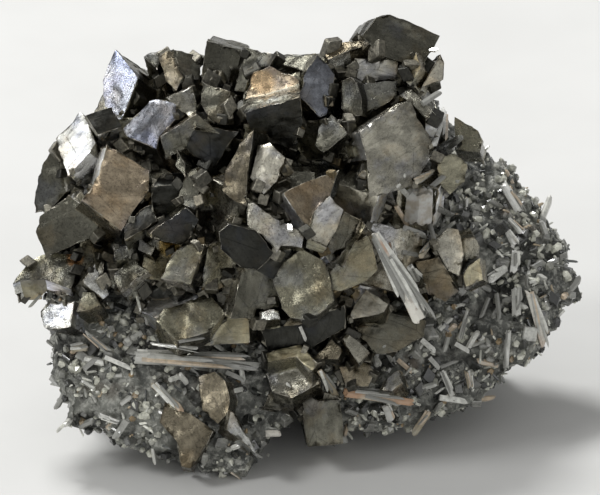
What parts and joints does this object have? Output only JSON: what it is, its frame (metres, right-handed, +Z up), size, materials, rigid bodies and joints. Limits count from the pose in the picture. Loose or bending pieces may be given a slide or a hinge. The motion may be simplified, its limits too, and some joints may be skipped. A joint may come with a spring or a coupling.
{
  "type": "arsenopyrite specimen",
  "caption": "Natural mineral specimen: a domed cluster of intergrown blocky metallic crystals on a lump of grey rock, with pale prisms lying over both, resting on its broken underside",
  "frame": {"origin": "On the ground, under the middle of the specimen's width and depth. It stands on its broken underside at z = 0.", "axes": "+Z is up, +X is to the right of the side that carries the crystals, and that side faces -Y and leans back from it."},
  "size_m": [0.0752, 0.0512, 0.0545],
  "materials": {
    "arsenopyrite": "natural metallic crystal faces, steel grey tarnished bronze, with bright and dull facets",
    "host_rock": "rough broken grey-green rock with a coat of fine sparkling crystals",
    "quartz": "pale grey to tan translucent prisms, satin"
  },
  "bodies": {
    "root": {"arsenopyrite_cluster": "arsenopyrite", "arsenopyrite_crystal_01": "arsenopyrite", "arsenopyrite_crystal_02": "arsenopyrite", "arsenopyrite_crystal_03": "arsenopyrite", "arsenopyrite_crystal_04": "arsenopyrite", "arsenopyrite_crystal_05": "arsenopyrite", "arsenopyrite_crystal_06": "arsenopyrite", "arsenopyrite_crystal_07": "arsenopyrite", "arsenopyrite_crystal_08": "arsenopyrite", "matrix": "host_rock", "quartz_glassy_hexagon": "quartz", "quartz_gold_prism": "quartz", "quartz_great_prism": "quartz", "quartz_great_prism_side": "quartz", "quartz_grey_sheaf": "quartz", "quartz_grey_sheaf_thin": "quartz", "quartz_grey_stub": "quartz", "quartz_hanging_column": "quartz", "quartz_left_grey_column": "quartz", "quartz_left_tan": "quartz", "quartz_long_pink": "quartz", "quartz_low_blade": "quartz", "quartz_low_left_column": "quartz", "quartz_lower_right_blade": "quartz", "quartz_lower_right_stub": "quartz", "quartz_middle_lower": "quartz", "quartz_middle_tan": "quartz", "quartz_pink_column": "quartz", "quartz_right_bend": "quartz", "quartz_right_bend_lower": "quartz", "quartz_right_block": "quartz", "quartz_right_column": "quartz", "quartz_right_low_column": "quartz", "quartz_right_short": "quartz", "quartz_right_slanted": "quartz", "quartz_right_tall": "quartz", "quartz_right_thin": "quartz", "quartz_small_tan": "quartz", "quartz_upper_blade": "quartz"}
  },
  "joints": []
}
